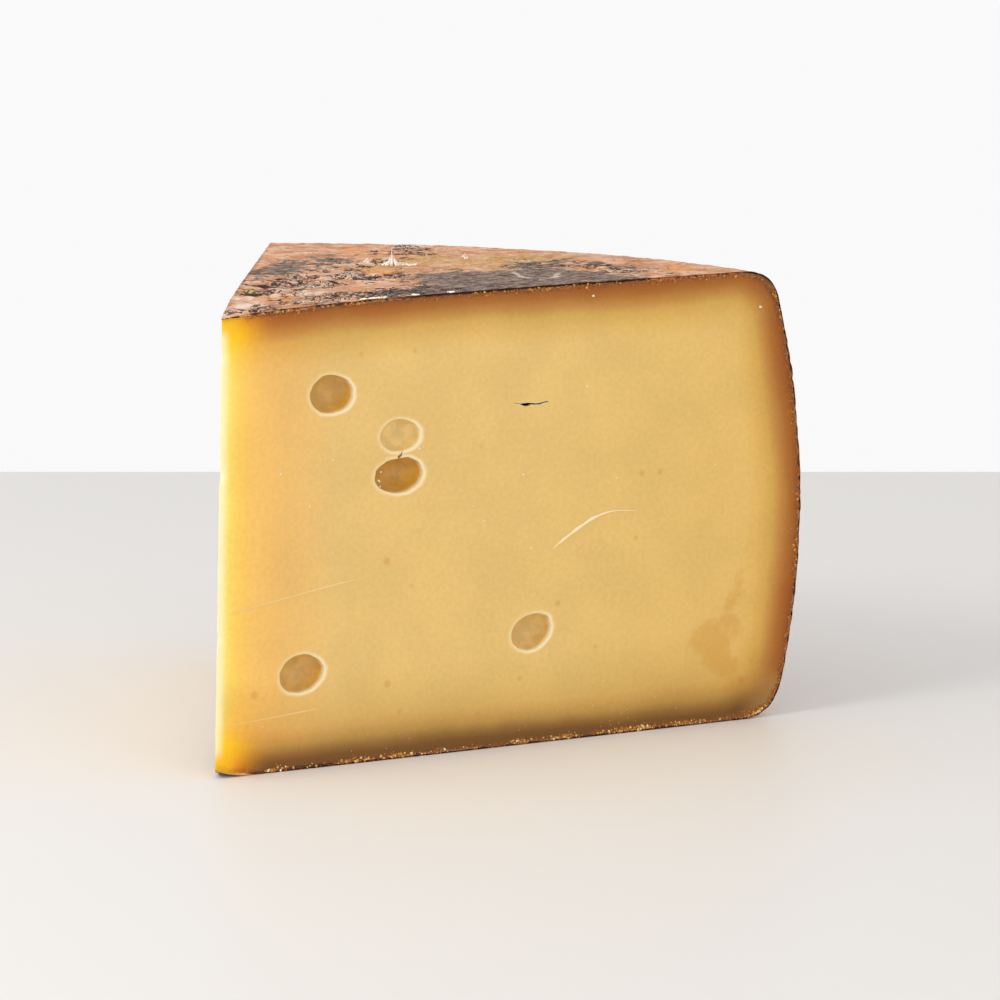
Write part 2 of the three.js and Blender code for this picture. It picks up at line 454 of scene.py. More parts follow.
def eyeWobble(angle, eye):
    # An eye's rim as a share of its oval: low waves round it, and dents as bell curves of
    # the angle.
    phase = eye["x"] + eye["z"]
    rim = 1
    for waves, turns, height in paste["rimWaves"]:
        rim = rim + height * np.cos(waves * angle + turns * phase)
    waves, swells, height = paste["rimRipple"]
    rim = rim + height * np.cos(waves * angle) * np.cos(swells * angle + phase)
    for direction, depth, width in eye["dents"]:
        away = (np.degrees(angle) - direction + 180) % 360 - 180
        rim = rim - depth * np.exp(-((away / width) ** 2))
    return rim


def eyeRadius(x, z, eye):
    # 1 on the eye's rim, 0 in its middle, by its tilted and slightly wobbly oval.
    tilt = math.radians(eye["tilt"])
    dx, dz = x - eye["x"], z - eye["z"]
    across = (dx * math.cos(tilt) + dz * math.sin(tilt)) / (eye["width"] / 2)
    up = (dz * math.cos(tilt) - dx * math.sin(tilt)) / (eye["height"] / 2)
    return np.hypot(across, up) / eyeWobble(np.arctan2(up, across), eye)


def nearestNode(net, x, z):
    # Column and row of the net's point nearest to a place.
    gap = np.hypot(net[..., 0] - x, net[..., 1] - z)
    return np.unravel_index(np.argmin(gap), gap.shape)


def holdEye(net, wanted, depth, held, eye):
    # Squares of the net round the eye's middle become rings: a square's corner and side
    # places turn into even angles, and ring k of K lies at sin(90 k/K) of the oval and
    # cos(90 k/K) of the depth, with one more ring as a raised lip.
    rings = eye.get("rings", paste["eyeRings"])
    column, row = nearestNode(net, eye["x"], eye["z"])
    reach = rings if "rings" in eye else rings + 1  # the twin eyes are too close for a lip
    k = np.arange(-reach, reach + 1)
    a, b = np.meshgrid(k, k, indexing="ij")
    ring = np.maximum(abs(a), abs(b))
    wide = abs(a) >= abs(b)
    safeA, safeB = np.where(a == 0, 1, a), np.where(b == 0, 1, b)
    angle = np.where(wide, math.pi / 4 * b / safeA, math.pi / 2 - math.pi / 4 * a / safeB)
    signed = np.where(wide, a, b)
    angle = np.where(signed < 0, angle + math.pi, angle)
    turn = np.minimum(ring / rings, 1) * math.pi / 2
    out = np.where(ring > rings, paste["lipReach"], np.sin(turn)) * eyeWobble(angle, eye)
    across = out * np.cos(angle) * eye["width"] / 2
    up = out * np.sin(angle) * eye["height"] / 2
    tilt = math.radians(eye["tilt"])
    block = (slice(column - reach, column + reach + 1), slice(row - reach, row + reach + 1))
    wanted[block][..., 0] = eye["x"] + across * math.cos(tilt) - up * math.sin(tilt)
    wanted[block][..., 1] = eye["z"] + across * math.sin(tilt) + up * math.cos(tilt)
    depth[block] = np.where(ring > rings, -paste["lipRise"], eye["depth"] * np.cos(turn))
    held[block] = True


def holdSlit(net, wanted, depth, held):
    # Three rows of the net: two lips that part as a lens, and a deep row between them.
    half = slit["width"] / 2
    column, row = nearestNode(net, slit["x"], slit["z"])
    cell = net[column + 1, row, 0] - net[column, row, 0]
    count = int(round(half / cell))
    u = np.arange(-count, count + 1) / count
    gape = np.interp(u, *zip(*slit["open"]))
    middle = slit["z"] + np.interp(u, *zip(*slit["run"]))
    for step, side in ((-1, -0.5), (0, 0), (1, 0.5)):
        part = (slice(column - count, column + count + 1), row + step)
        wanted[part][:, 0] = slit["x"] + half * u
        wanted[part][:, 1] = middle + side * slit["height"] * gape
        depth[part] = slit["depth"] * np.clip(2 * gape, 0, 1) if step == 0 else 0
        held[part] = True


def settle(net, wanted, held):
    # The rest of the net settles between what is held: each free point keeps moving by
    # the mean move of its four neighbours.
    move = np.where(held[..., None], wanted - net, 0)
    free = ~held[1:-1, 1:-1, None]
    for _ in range(paste["netTurns"]):
        mean = (move[2:, 1:-1] + move[:-2, 1:-1] + move[1:-1, 2:] + move[1:-1, :-2]) / 4
        move[1:-1, 1:-1] = np.where(free, mean, move[1:-1, 1:-1])
    return net + move


def lineGap(x, z, line):
    # Distance to an open line: the least of the distances to its straight stretches.
    best = np.full(x.shape, 1e9)
    for (x0, z0), (x1, z1) in zip(line[:-1], line[1:]):
        length = math.hypot(x1 - x0, z1 - z0)
        share = np.clip(((x - x0) * (x1 - x0) + (z - z0) * (z1 - z0)) / length**2, 0, 1)
        gap = np.hypot(x - x0 - share * (x1 - x0), z - z0 - share * (z1 - z0))
        best = np.minimum(best, gap)
    return best


def pointGap(x, z, spots):
    # Distance to the nearest of several round spots' edges; negative inside one.
    return np.minimum.reduce([np.hypot(x - cx, z - cz) - radius for cx, cz, radius in spots])


def ovalDepth(x, y, ovals):
    # How far inside the nearest of several turned ovals a point is, in mm; negative outside.
    best = np.full(np.broadcast(x, y).shape, -farAway)
    for cx, cy, a, b, turn in ovals:
        c, s = math.cos(math.radians(turn)), math.sin(math.radians(turn))
        u, v = (x - cx) * c + (y - cy) * s, (y - cy) * c - (x - cx) * s
        best = np.maximum(best, (1 - np.hypot(u / a, v / b)) * min(a, b))
    return best


def faceInward(share):
    # The direction into the paste at a cut, which is the first one at share 0.
    angle = cuts["angle"] * share
    return np.array([math.sin(angle), (-1 if share else 1) * math.cos(angle), 0])


def onCut(x, z, share, depth=0.0):
    # A point of a cut face, depth mm into the paste, on the slightly wavy cut.
    flat = aroundWheel(x, z, share)
    edge = np.minimum.reduce([x - tipOffset(z), z, topHeight(abs(x)) - z, sideRadius(z) - x])
    wander = cuts["waviness"] * layered(flat, cuts["waveNoise"])
    depth = depth + wander * np.clip(edge / cuts["waveFade"], 0, 1)
    return flat + depth[..., None] * faceInward(share)


def cutFace(eyes, share, isFront):
    # One cut face as a patch: the settled net swung to its cut, sunk where the eyes are,
    # with each point's distances to what colours the paste. The rind's distance blends
    # round the shoulder as -soft * log(exp(-top / soft) + exp(-rim / soft)).
    net = cutNet()
    wanted, depth = net.copy(), np.zeros(net.shape[:2])
    held = np.zeros(net.shape[:2], bool)
    for eye in eyes:
        holdEye(net, wanted, depth, held, eye)
    if isFront:
        holdSlit(net, wanted, depth, held)
    net = settle(net, wanted, held)
    x, z = net[..., 0], net[..., 1]
    outline, shoulder, foot = wheelOutline(0)
    stretches = (outline[: shoulder + 1], outline[shoulder : foot + 1], outline[foot:])
    topGap, rimGap, footGap = [
        lineGap(x, z, evenly(line, parts)) for line, parts in zip(stretches, paste["lineParts"])
    ]
    soft = paste["cornerBlend"]
    rindGap = -soft * np.log(np.exp(-topGap / soft) + np.exp(-paste["rimSpread"] * rimGap / soft))
    eyeGap = np.full(x.shape, farAway)
    eyeDark, eyeSide = np.zeros(x.shape), np.zeros(x.shape)
    for eye in eyes:
        gap = (eyeRadius(x, z, eye) - 1) * eye["height"] / 2
        nearest = gap < eyeGap
        eyeDark = np.where(nearest, eye["dark"], eyeDark)
        right, up = paste["paleSide"]
        aside = (right * (x - eye["x"]) + up * (z - eye["z"])) / eye["height"] * 2
        eyeSide = np.where(nearest, np.clip(aside, -1.5, 1.5), eyeSide)
        eyeGap = np.minimum(eyeGap, gap)
    slitGap = lineGap(x, z, [(slit["x"] + dx, slit["z"] + dz) for dx, dz in slit["spine"]])
    if isFront:  # the slit's lips are as pale as an eye's rim
        times, less, least = slit["halo"]
        eyeGap = np.minimum(eyeGap, np.maximum(times * slitGap - less, least))
    smearX, smearZ = paste["smearAt"]
    return {
        "at": wornTip(onCut(x, z, share, depth)),
        "rindGap": rindGap,
        "footGap": footGap,
        "edgeGap": np.minimum.reduce([topGap, rimGap, footGap]),
        "tipGap": x - tipOffset(z),
        "eyeGap": eyeGap,
        "eyeDark": eyeDark,
        "eyeSide": eyeSide,
        "slitDark": np.clip(depth / slit["depth"], 0, 1) * ((slitGap < slit["reach"]) & isFront),
        "stain": ovalDepth(x, z, pasteStains) if isFront else -farAway,
        "freckle": pointGap(x, z, freckles) if isFront else farAway,
        "shoulder": np.hypot(x - smearX, z - smearZ),
    }


def makePaste():
    # The two cut faces, and between them the skin: the section's top, side and underside
    # swung round and sunk towards the middle, with its two ends on the faces' own borders.
    front = cutFace(frontEyes, 0, True)
    rear = cutFace(rearEyes, 1, False)
    net = cutNet()
    share = sunkShares(paste["skinSteps"])
    middleX, middleZ = paste["sinkTowards"]
    patches = [front, rear]
    plain = dict.fromkeys(front, 0.0)
    plain.update({"eyeGap": farAway, "stain": -farAway, "freckle": farAway})
    for side in (np.s_[:, -1], np.s_[-1, :], np.s_[:, 0]):
        x, z = net[side][None, :, 0], net[side][None, :, 1]
        sink = paste["sink"] * sunk(share, x - tipOffset(z)) / paste["sinkSpan"]
        at = wornTip(aroundWheel(x + (middleX - x) * sink, z + (middleZ - z) * sink, share))
        at[0], at[-1] = front["at"][side], rear["at"][side]
        patches.append({**plain, "at": at})
    return buildMesh("cheese_paste", patches)


# Semi-hard cheese paste, cut with a knife: smooth, a little oily and translucent, so it is
# satin and glows where it is thin, a glow that is painted into its colour as well; it browns
# towards the rind, where it has dried, and above the foot its colour holds painted shade too.
pasteLook = {
    # thin and amber are painted glow of the light through the sharp edge.
    "thin": "#FFF4C8",
    "amber": "#FFC40E",
    # The eye's colours: the halo is a waxy rim, made stronger on the lit lower right as a painted
    # highlight; the inside is painted darker with shade in the deep eyes and gold with painted light on
    # its lower right wall.
    "halo": "#FAE9C2",
    "eye": "#ECCC86",
    "eyeInShade": "#D0A052",
    "eyeLitWall": "#E4AC38",
    # The slit's near-black is painted shade in its crack.
    "slit": "#1E0F06",
    "stain": "#CE8C14",
    "freckle": "#C4781A",
    "crumbBand": "#8A4C1A",
    "crumb": "#BE8038",
    "smear": "#3E2620",
    "eyeRoughness": 0.33,
    "bumpStrength": 0.3,
    "bumpHeight": 0.00022,  # metres
}
# The colour by distance from the sharp edge: paler and yellower near it, partly the paste's
# own colour and partly painted glow of the light through the thin edge.
acrossCut = [
    (0.0, "#FFF4B4"), (1.3, "#FFE88A"), (2.6, "#FFDE6A"), (4.2, "#FFD362"), (6.5, "#FECA65"),
    (10.0, "#F8C46B"), (15.0, "#F0C06E"), (26.0, "#EAC479"), (75.0, "#E9C478"), (135.0, "#E7BE6C"),
]
# What browning lets through, by distance from the rind and from the foot in mm: in the
# thick of the wedge, and near the sharp edge, where painted glow of the light through it
# turns it amber. Above the foot the darkening is browning and painted shade.
browning = [
    (0, "#A6622A"), (1.4, "#B47A3A"), (2.9, "#C0925A"), (4.9, "#D8B998"), (6.9, "#EDE1BF"),
    (9.9, "#FAF5E3"), (13, "#FFFFFF"),
]
tipBrowningAndGlow = [
    (0, "#E8A400"), (0.8, "#F6BC00"), (2.8, "#FFE820"), (4.8, "#FFF450"), (7.8, "#FFF7C4"),
    (10.8, "#FFFBE4"), (14, "#FFFFFF"),
]
footBrowningAndShade = [
    (0, "#7A5F40"), (2.5, "#8A6F4D"), (4, "#A6906B"), (6, "#D0C29E"), (8, "#E5D6BD"),
    (10, "#EFE9D8"), (14, "#F7F5EB"), (20, "#FFFFFF"),
]
tipFootBrowningAndGlow = [
    (0, "#E6A418"), (2.5, "#F8CC20"), (4, "#FFE62C"), (6, "#FFF060"), (8, "#FCEAA0"),
    (10, "#F8EED0"), (14, "#F6F0E8"), (20, "#FFFFFF"),
]
pastePatterns = {
    "cloud": (13, 3, 0.5, 0, 0.3, 0.7, 0.965, 1.025),  # broad clouds in the paste
    "mottle": (1.1, 4, 0.65, 0, 0.3, 0.7, 0.965, 1.035),  # curd grains
    "uneven": (22, 3, 0.5, 0, 0.25, 0.75, -0.6, 0.6),  # mm that the browning wanders
    "blot": (4, 3, 0.5, 0, 0.2, 0.8, -1.6, 1.6),  # mm that a stain's edge wanders
    "loose": (1.3, 4, 0.7, 0, 0.3, 0.7, -0.5, 0.5),  # mm that the crumbled band wanders
    "crumbs": (0.7, 4, 0.7, 0, 0.5, 0.64, 0, 1),
    "streaks": (2.6, 3, 0.6, 0, 0.35, 0.65, 0.9, 1.06),  # in the eyes
    "satin": (5, 3, 0.5, 0, 0.2, 0.8, 0.4, 0.56),  # roughness
    "smears": ((0.7 / 0.12, 0.7 / 0.12, 0.7), 3, 0.6, 0),  # left by the knife, level along the cut
    "pits": (0.55, 3, 0.6, 0),
}
# How strong something is by a distance: which one, from and to in mm, and the two shares.
pasteBands = {
    "nearTip": ("tipGap", 12.5, 2.2, 0, 1),
    "corner": ("rindGap", 0, 8, 0.5, 1),
    "aboveFoot": ("footGap", 2, 11, 0.45, 1),
    "amberAlong": ("tipGap", 6.5, 1.0, 0, 0.85),
    "amberUnder": ("edgeGap", 9, 1.5, 0, 1),
    "glowAlong": ("tipGap", 2.4, 0.3, 0, 0.75),
    "glowAway": ("edgeGap", 1.5, 5, 0, 1),
    "freckle": ("freckle", 0.45, -0.3, 0, 0.32),
    "smearRound": ("shoulder", 7.5, 3.0, 0, 1),
    "smearUnder": ("edgeGap", 2.0, 0.5, 0, 0.8),
    "crumbsAway": ("tipGap", 2, 14, 0.25, 1),
    "ring": ("eyeGap", 0.95, 0.15, 0, 1),
    "ringLitSide": ("eyeSide", -1.2, 1.2, 0.3, 0.85),
    "litWallSide": ("eyeSide", 0.35, 1.05, 0, 1),
    "litWallByShade": ("eyeDark", -0.2, 1.0, 0.15, 0.7),
    "inEye": ("eyeGap", 0.04, -0.25, 0, 1),
    "inSlit": ("slitDark", 0.05, 0.5, 0, 1),
}
stainShare = (-1.0, 1.8, 0, 0.36)
crumbShare = (1.5, 0.6, 0, 0.8)


def pasteMaterial():
    # The plain colour by distance from the sharp edge, multiplied by the browning, with
    # each mark laid over it by its share.
    material = newMaterial("knife-cut semi-hard cheese paste")
    tree = material.node_tree
    add = partial(addNode, tree)
    pattern = addPatterns(tree, pastePatterns)
    keys = ("rindGap", "footGap", "edgeGap", "tipGap", "eyeGap", "eyeDark", "eyeSide")
    keys = (*keys, "slitDark", "stain", "freckle", "shoulder")
    gap = {key: add("mark", attribute_name=key) for key in keys}
    band = {name: add("between", gap[key], *ends) for name, (key, *ends) in pasteBands.items()}

    colour = add("ramp", add("share", gap["tipGap"], acrossCut[-1][0]), stops=acrossCut)
    colour = add("scale", colour, add("multiply", pattern["cloud"], pattern["mottle"]))
    # Browning under the rind and above the foot, its edge uneven by a millimetre; above the
    # foot it holds painted shade too, and near the sharp edge painted amber glow.
    sides = (
        ("rindGap", (browning, tipBrowningAndGlow), "aboveFoot"),
        ("footGap", (footBrowningAndShade, tipFootBrowningAndGlow), "corner"),
    )
    for key, ramps, share in sides:
        wavy = add("add", gap[key], pattern["uneven"])
        tones = [add("ramp", add("share", wavy, stops[-1][0]), stops=stops) for stops in ramps]
        colour = add("tint", band[share], colour, add("mix", band["nearTip"], *tones))
    # Light comes through the sharp edge: amber next to the rind, almost white elsewhere.
    amber = add("multiply", band["amberAlong"], band["amberUnder"])
    colour = add("mix", amber, colour, pasteLook["amber"])
    glow = add("multiply", band["glowAlong"], band["glowAway"])
    colour = add("mix", glow, colour, pasteLook["thin"])
    # Ochre stains and freckles.
    blot = add("add", gap["stain"], pattern["blot"])
    colour = add("mix", add("between", blot, *stainShare), colour, pasteLook["stain"])
    colour = add("mix", band["freckle"], colour, pasteLook["freckle"])
    # The dark smear at the shoulder, and the crumbled band right under the rind.
    smear = add("multiply", band["smearRound"], band["smearUnder"])
    colour = add("mix", smear, colour, pasteLook["smear"])
    ragged = add("between", add("add", gap["edgeGap"], pattern["loose"]), *crumbShare)
    crumbTone = add("mix", pattern["crumbs"], pasteLook["crumbBand"], pasteLook["crumb"])
    colour = add("mix", add("multiply", ragged, band["crumbsAway"]), colour, crumbTone)
    # A pale, waxy ring round each eye, made stronger on its lower right as a painted highlight,
    # and the eye's inside: darker by painted shade in the deep eyes, and gold on its lit lower
    # right wall as painted light.
    ring = add("multiply", band["ring"], band["ringLitSide"])
    colour = add("mix", ring, colour, pasteLook["halo"])
    eyeTone = add("mix", gap["eyeDark"], pasteLook["eye"], pasteLook["eyeInShade"])
    gold = add("multiply", band["litWallSide"], band["litWallByShade"])
    eyeTone = add("scale", add("mix", gold, eyeTone, pasteLook["eyeLitWall"]), pattern["streaks"])
    colour = add("mix", band["inEye"], colour, eyeTone)
    # Painted shade: the slit's inside is near-black.
    colour = add("mix", band["inSlit"], colour, pasteLook["slit"])

    relief = add("blend", 0.5, pattern["smears"], pattern["pits"])
    surface = {
        "Base Color": colour,
        "Roughness": add("blend", band["inEye"], pattern["satin"], pasteLook["eyeRoughness"]),
        "Normal": add("bump", relief, pasteLook["bumpStrength"], pasteLook["bumpHeight"]),
        "IOR": 1.45,
        "Specular IOR Level": 0.35,
        "Subsurface Weight": 0.3,
        "Subsurface Radius": (1.0, 0.62, 0.22),
        "Subsurface Scale": 0.0035,  # metres that red light travels in the paste
    }
    finishWith(material, surface)
    return material


# The rind: a thin dry skin over the top, the side and the underside.

rind = {
    "steps": (0.62, 0.95, 3.0),  # mm between points along the top, the side and the underside
    "aroundSteps": 176,
    "innerSteps": 12,
    "thickness": 0.37,
    "thicknessChange": 0.1,
    "raggedNoise": [(2.2, 1, 31), (0.9, 0.6, 32)],
    "sink": 1.0,  # its inner face lies this much deeper away from the cuts
    "thinTip": [(0, 0.4), (20, 1)],  # its share of that thickness by distance from the axis
    "proud": 0.06,  # its cut edge stands this far out of the cut faces
    "cutDepth": 0.4,  # at a cut a crease is at most this share of the thickness deep
    "deepFrom": 1.5,  # and it may have its full depth this far from the cut
    "pressed": 0.15,  # share of the unevenness left where it stands on the table
    "pressedHeight": 0.3,
    "calmTip": 9.0,  # the unevenness fades out over this distance to the axis
    # How dark the cut edge is by distance from the axis, and on the side by height; below 0
    # it turns golden, which at the sharp edge is painted glow.
    "topDark": [
        (0, -0.8), (4, -0.5), (12, 0.2), (42, 0.5), (47, 1), (97, 1), (102, 0.3), (122, 0.3),
        (127, 0.9),
    ],
    "sideDark": [(0, 0.6), (12, 0.45), (80, 0.4), (90, 0.7), (95, 1)],
    "underDark": [(0, -1.0), (6, -0.7), (14, 0.3), (30, 0.6), (130, 0.6)],
    "sideFrom": 5.0,  # mm in from the top corner
    "rearLitDark": 0.35,  # the second cut's edge is painted less dark, as painted light from the lamp on the left
}
unevenness = {
    "swell": 0.11,  # height of the slow swells, mm
    "swellNoise": [(19.0, 1, 21), (8.0, 0.4, 22)],
    "wander": 1.6,  # the creases' lines are bent by this many mm
    "wanderHill": 5.0,
    "wanderSeeds": (23, 28, 29),
    "foldNoise": [(3.6, 1, 24), (1.7, 0.25, 30)],
    "foldWidth": 0.17,  # in the noise's own heights
    "wrinkle": 0.55,  # depth of the creases, mm
    "outside": 0.16,  # share of that outside the creased patches
    "patchFade": 5.0,
    "strengthNoise": [(9.0, 0.9, 25)],
    "evenStrength": 0.75,
    "onChar": 0.3,  # share left of the creases where mould fills them
    "gashWidth": 0.6,
    "plateRise": 0.4,
    "pimple": 0.1,  # height of the fine roughness, mm
    "pimpleNoise": [(1.9, 1, 26), (1.1, 0.6, 27)],
}
# Patches on the top, each an oval: middle x and y from the wheel's axis, half sizes, turn.
# On the side and underneath the hills of a slow noise stand in for them.
rindPatches = {
    "char": {
        "hill": 34,
        "seed": 41,
        "ovals": [
            (50, 6, 15, 9, 0), (59, 8, 16, 11, 0), (71, 19, 15, 18, 20), (84, 16, 15, 16, 0),
            (93, 5, 9, 8, 0), (73, -1, 27, 9, 0), (41, 60, 17, 7, 48), (36, 55, 9, 6, 50),
            (53, 64, 9, 3.5, 35), (106, 28, 3, 12, 10), (92, 36, 11, 6, 40), (55, 70, 9, 4, 50),
        ],
    },
    "gold": {
        "hill": 27,
        "seed": 42,
        "ovals": [
            (94, 46, 17, 13, 45), (62, 49, 8, 5, -25), (19, 31, 6, 4, 20), (72, 37, 9, 3.5, 5),
            (100, 14, 3, 7, 0), (76, 62, 12, 10, 30), (112, 10, 8, 3, 0),
        ],
    },
    "creased": {
        "hill": 24,
        "seed": 43,
        "ovals": [
            (26, 8, 20, 10, 8), (10, 3.5, 9, 4.5, 10), (22, 24, 9, 5, 20), (40, 9, 18, 9, 0),
            (30, 32, 20, 12, 50), (54, 38, 16, 10, 20), (100, 30, 6, 18, 15), (80, 78, 16, 8, 50),
            (58, 60, 14, 7, 40),
        ],
    },
}
# Pale plates of dry smear, pale curls on the charcoal, and one gash, painted near-black as shade.
palePatches = [
    (15.5, 19.3, 6, 2.2, 0), (28.5, 17.8, 6, 2, 0), (9, 9, 5, 2, 30), (24, 6, 6, 2, 0),
    (59.2, 85.8, 1.6, 1.6, 0), (33, 27, 7, 2, 10),
]
paleCurl = [(82.0, 26.8), (79.0, 17.5), (80.1, 11.1), (85.0, 13.3), (90.2, 21.1)]
gash = [(14.8, 22.6), (19.4, 22.7)]
nowhere = -9.0


def rindOutline():
    # The section's outline with points close on the top, wider on the side and widest
    # underneath.
    outline, shoulder, foot = wheelOutline(0)
    pieces = []
    stretches = (outline[: shoulder + 1], outline[shoulder : foot + 1], outline[foot:])
    for points, step in zip(stretches, rind["steps"]):
        length = np.linalg.norm(np.diff(points, axis=0), axis=1).sum()
        pieces.append(evenly(points, int(length / step))[:-1])
    return np.concatenate([*pieces, outline[-1:]])


def edgeDarkness(at):
    # How dark the rind's cut edge is, below 0 where it is golden, which at the sharp edge is
    # painted glow of light through the thin tip: by distance from the axis on the top and
    # underneath, and by height on the side.
    reach, z = np.hypot(at[..., 0], at[..., 1]), at[..., 2]
    top, under = [np.interp(reach, *zip(*rind[key])) for key in ("topDark", "underDark")]
    side = np.interp(z, *zip(*rind["sideDark"]))
    onSide = reach > sideRadius(wheel["height"]) - rind["sideFrom"]
    return np.where(onSide, side, np.where(z > wheel["height"] / 2, top, under))


def rindMarks(at):
    # How deep each point lies in each kind of patch, in mm: placed ovals on the top, and
    # hills of a slow noise, 12 * noise - 4, on the side and underneath.
    x, y, z = at[..., 0], at[..., 1], at[..., 2]
    onTop = np.clip((z - wheel["height"] + 16) / 9, 0, 1)
    marks = {}
    for key, kind in rindPatches.items():
        elsewhere = 12 * softNoise(at, kind["hill"], kind["seed"]) - 4
        marks[key] = onTop * ovalDepth(x, y, kind["ovals"]) + (1 - onTop) * elsewhere
    pale = np.maximum(ovalDepth(x, y, palePatches), 1 - 2 * lineGap(x, y, paleCurl))
    marks["pale"] = np.where(onTop > 0, pale, nowhere)
    return marks


def rindRelief(at, marks):
    # Slow swells; creases exp(-(fold / width)^2) deep where a warped noise crosses zero,
    # strong in the creased patches and faint elsewhere, with plates raised between them;
    # one gash; and fine pimples.
    look = unevenness
    bent = [softNoise(at, look["wanderHill"], seed) for seed in look["wanderSeeds"]]
    fold = layered(at + look["wander"] * np.stack(bent, -1), look["foldNoise"])
    inPatch = np.clip(0.5 + marks["creased"] / look["patchFade"], 0, 1)
    strength = look["outside"] + (1 - look["outside"]) * inPatch
    strength = strength * np.clip(look["evenStrength"] + layered(at, look["strengthNoise"]), 0, 1)
    strength = strength * np.where(marks["char"] > 1.5, look["onChar"], 1)
    crease = np.exp(-((fold / look["foldWidth"]) ** 2)) * strength
    cleft = np.exp(-((lineGap(at[..., 0], at[..., 1], gash) / look["gashWidth"]) ** 2))
    crease = np.maximum(crease, cleft * (at[..., 2] > wheel["height"] / 2))
    plate = np.clip(abs(fold) - 0.2, 0, 0.5) * strength
    height = look["swell"] * layered(at, look["swellNoise"]) - look["wrinkle"] * crease
    height = height + look["plateRise"] * plate + look["pimple"] * layered(at, look["pimpleNoise"])
    return height, crease, plate


def makeRind():
    # An uneven outer shell and a plain inner one, joined by a strip along each cut.
    points = rindOutline()
    outward = leftOf(points)
    x, z = points[:, 0], points[:, 1]

    def shell(push, share):
        # The outline pushed out by push mm and swung round; its two ends stay on the edge.
        px, pz = x + push * outward[:, 0], z + push * outward[:, 1]
        px[..., 0], px[..., -1] = tipOffset(pz[..., 0]), tipOffset(pz[..., -1])
        return wornTip(aroundWheel(px, pz, share))

    share = np.linspace(0, 1, rind["aroundSteps"] + 1)[:, None]
    base = shell(np.zeros((len(share), len(x))), share)
    frontGap = abs(base[..., 1])
    rearGap = abs((base - base[0, 0]) @ faceInward(1))
    cutGap = np.minimum(frontGap, rearGap)
    marks = rindMarks(base)
    push, crease, plate = rindRelief(base, marks)
    deepest = unevenness["wrinkle"] * np.clip(cutGap / rind["deepFrom"], 0, 1)
    push = np.maximum(push, -rind["cutDepth"] * rind["thickness"] - deepest)
    push = push * np.where(z < rind["pressedHeight"], rind["pressed"], 1)
    push = push * np.clip(abs(x) / rind["calmTip"], 0, 1)
    outer = shell(push, share)
    dark = edgeDarkness(base) * np.where(rearGap < frontGap, rind["rearLitDark"], 1)

    innerShare = sunkShares(rind["innerSteps"])
    ragged = layered(np.stack([x, 0 * x, z], -1), rind["raggedNoise"])
    thick = rind["thickness"] + rind["thicknessChange"] * np.clip(ragged, -1, 1)
    thick = thick * np.interp(x, *zip(*rind["thinTip"]))
    thick = thick + rind["sink"] * sunk(innerShare, x - tipOffset(z))
    inner = shell(-thick, innerShare)
    for grid in (outer, inner):
        grid[0] -= rind["proud"] * faceInward(0)
        grid[-1] -= rind["proud"] * faceInward(1)
        for end in (0, -1):  # both cuts share the sharp edge
            grid[:, end] = grid[:, end].mean(0)
    plain = {"crease": 0.0, "plate": 0.0, "cutGap": 0.0, "cutEdge": 0.0}
    plain.update(dict.fromkeys(marks, nowhere))
    frontDark, rearLitDark = edgeDarkness(base[:1]), rind["rearLitDark"] * edgeDarkness(base[-1:])
    strips = [([outer[0], inner[0]], frontDark), ([inner[-1], outer[-1]], rearLitDark)]
    patches = [
        {"at": outer, "edgeDark": dark, "crease": crease, "plate": plate, "cutGap": cutGap},
        {**plain, "at": inner, "edgeDark": 1.0},
        *[{**plain, "at": np.stack(at), "edgeDark": d, "cutEdge": 1.0} for at, d in strips],
    ]
    patches[0].update({**marks, "cutEdge": 0.0})
    return buildMesh("cheese_rind", patches, math.radians(50))


# Washed and smeared rind, ripened for months: dry, matt and wrinkled, terracotta to pink
# brown, with charcoal-grey mould stains and golden smear; its creases are painted near-black as shade.
rindLook = {
    "base": "#CA8E68",
    "pink": "#E8B89A",
    "brown": "#8E4E30",
    "orange": "#EE9C4A",
    "gold": "#E0B66E",
    "goldDeep": "#B98A54",
    "char": "#40322C",
    "charPale": "#A89588",
    # crease is painted shade in the creases.
    "crease": "#28242A",
    "scurf": "#F4DFCA",
    "cut": "#35170A",
    "cutAmber": "#A05A1E",
    # cutGlow is painted glow at the sharp edge.
    "cutGlow": "#F2A61C",
    "bumpStrength": 0.7,
    "bumpHeight": 0.0004,  # metres
}
rindPatterns = {
    "pink": (6, 4, 0.6, 0.6, 0.38, 0.62, 0, 1),
    "orange": (11, 4, 0.6, 0.8, 0.54, 0.66, 0, 0.7),
    "brown": (3.6, 5, 0.66, 1.2, 0.54, 0.68, 0, 0.75),
    "broken": (3.4, 5, 0.7, 0, 0.25, 0.75, -6, 6),  # mm that a patch's edge wanders
    "goldMottle": (2.4, 5, 0.7, 0.8, 0.42, 0.62, 0, 1),
    "scurf": (2.0, 5, 0.7, 0.8, 0.56, 0.68, 0, 0.8),
    "brushed": ((1.3 / 0.55, 1.3, 1.3), 6, 0.75, 0.6, 0.4, 0.62, 0, 1),  # in the charcoal
    "paleEdge": (1.8, 4, 0.7, 0, 0.25, 0.75, -1.8, 1.8),
    "squiggle": (3.2, 2, 0.5, 2.4),  # a fine crease runs where it crosses a half
    "squiggleEdge": (6, 3, 0.5, 0, 0.25, 0.75, -10, 5),
    "patchy": (1.4, 4, 0.7, 0, 0.3, 0.7, -0.45, 0.45),  # along the cut edge
    "matt": (3, 3, 0.5, 0, 0.2, 0.8, 0.68, 0.9),  # roughness
    "pits": (0.8, 5, 0.65, 0),
}
